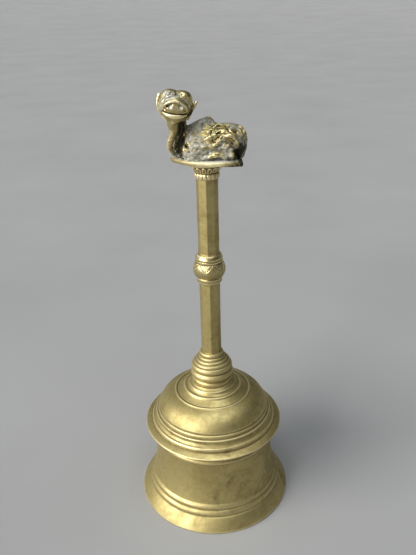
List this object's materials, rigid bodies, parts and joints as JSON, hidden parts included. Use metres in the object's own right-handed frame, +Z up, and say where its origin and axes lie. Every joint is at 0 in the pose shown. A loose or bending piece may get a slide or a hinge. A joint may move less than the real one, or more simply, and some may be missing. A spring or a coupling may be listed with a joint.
{
  "type": "hand bell",
  "caption": "Brass hand bell with a flared mouth, a long octagonal handle with turned knops, a reclining bull on top and a hanging clapper inside.",
  "frame": {"origin": "centre of the mouth, on the flat rim that the bell stands on", "axes": "+Z up the bell's axis to the handle, -Y towards the front, where the bull looks, +X to the right"},
  "size_m": [0.08, 0.08, 0.2142],
  "materials": {
    "bell_brass": "turned cast brass, satin, with an even brown tarnish and dark grooves",
    "handle_brass": "filed and hand-worn cast brass, bright on the corners",
    "figure_brass": "rough cast brass under grey polish residue, bright where it is rubbed",
    "iron": "forged iron with a brown skin",
    "clapper_brass": "dull cast brass, dented where it strikes"
  },
  "bodies": {
    "bell": {"bell_shell": "bell_brass", "handle_foot": "handle_brass", "lower_shaft": "handle_brass", "handle_knop": "handle_brass", "upper_shaft": "handle_brass", "capital": "handle_brass", "figure_plate": "figure_brass", "bull_figure": "figure_brass", "figure_rivets": "handle_brass", "tie_rod": "iron", "crown_washer": "iron", "crown_nut": "iron"},
    "link": {"clapper_link": "iron"},
    "clapper": {"clapper_stem": "iron", "clapper_ball": "clapper_brass"}
  },
  "joints": [
    {"name": "link_swing", "type": "hinge", "parent": "bell", "child": "link", "pos_m": [0, 0, 0.0488], "axis": [0, 1, 0], "range_deg": [-33, 33]},
    {"name": "clapper_swing", "type": "hinge", "parent": "link", "child": "clapper", "pos_m": [0, 0, 0.04095], "axis": [1, 0, 0], "range_deg": [-10, 10]}
  ]
}
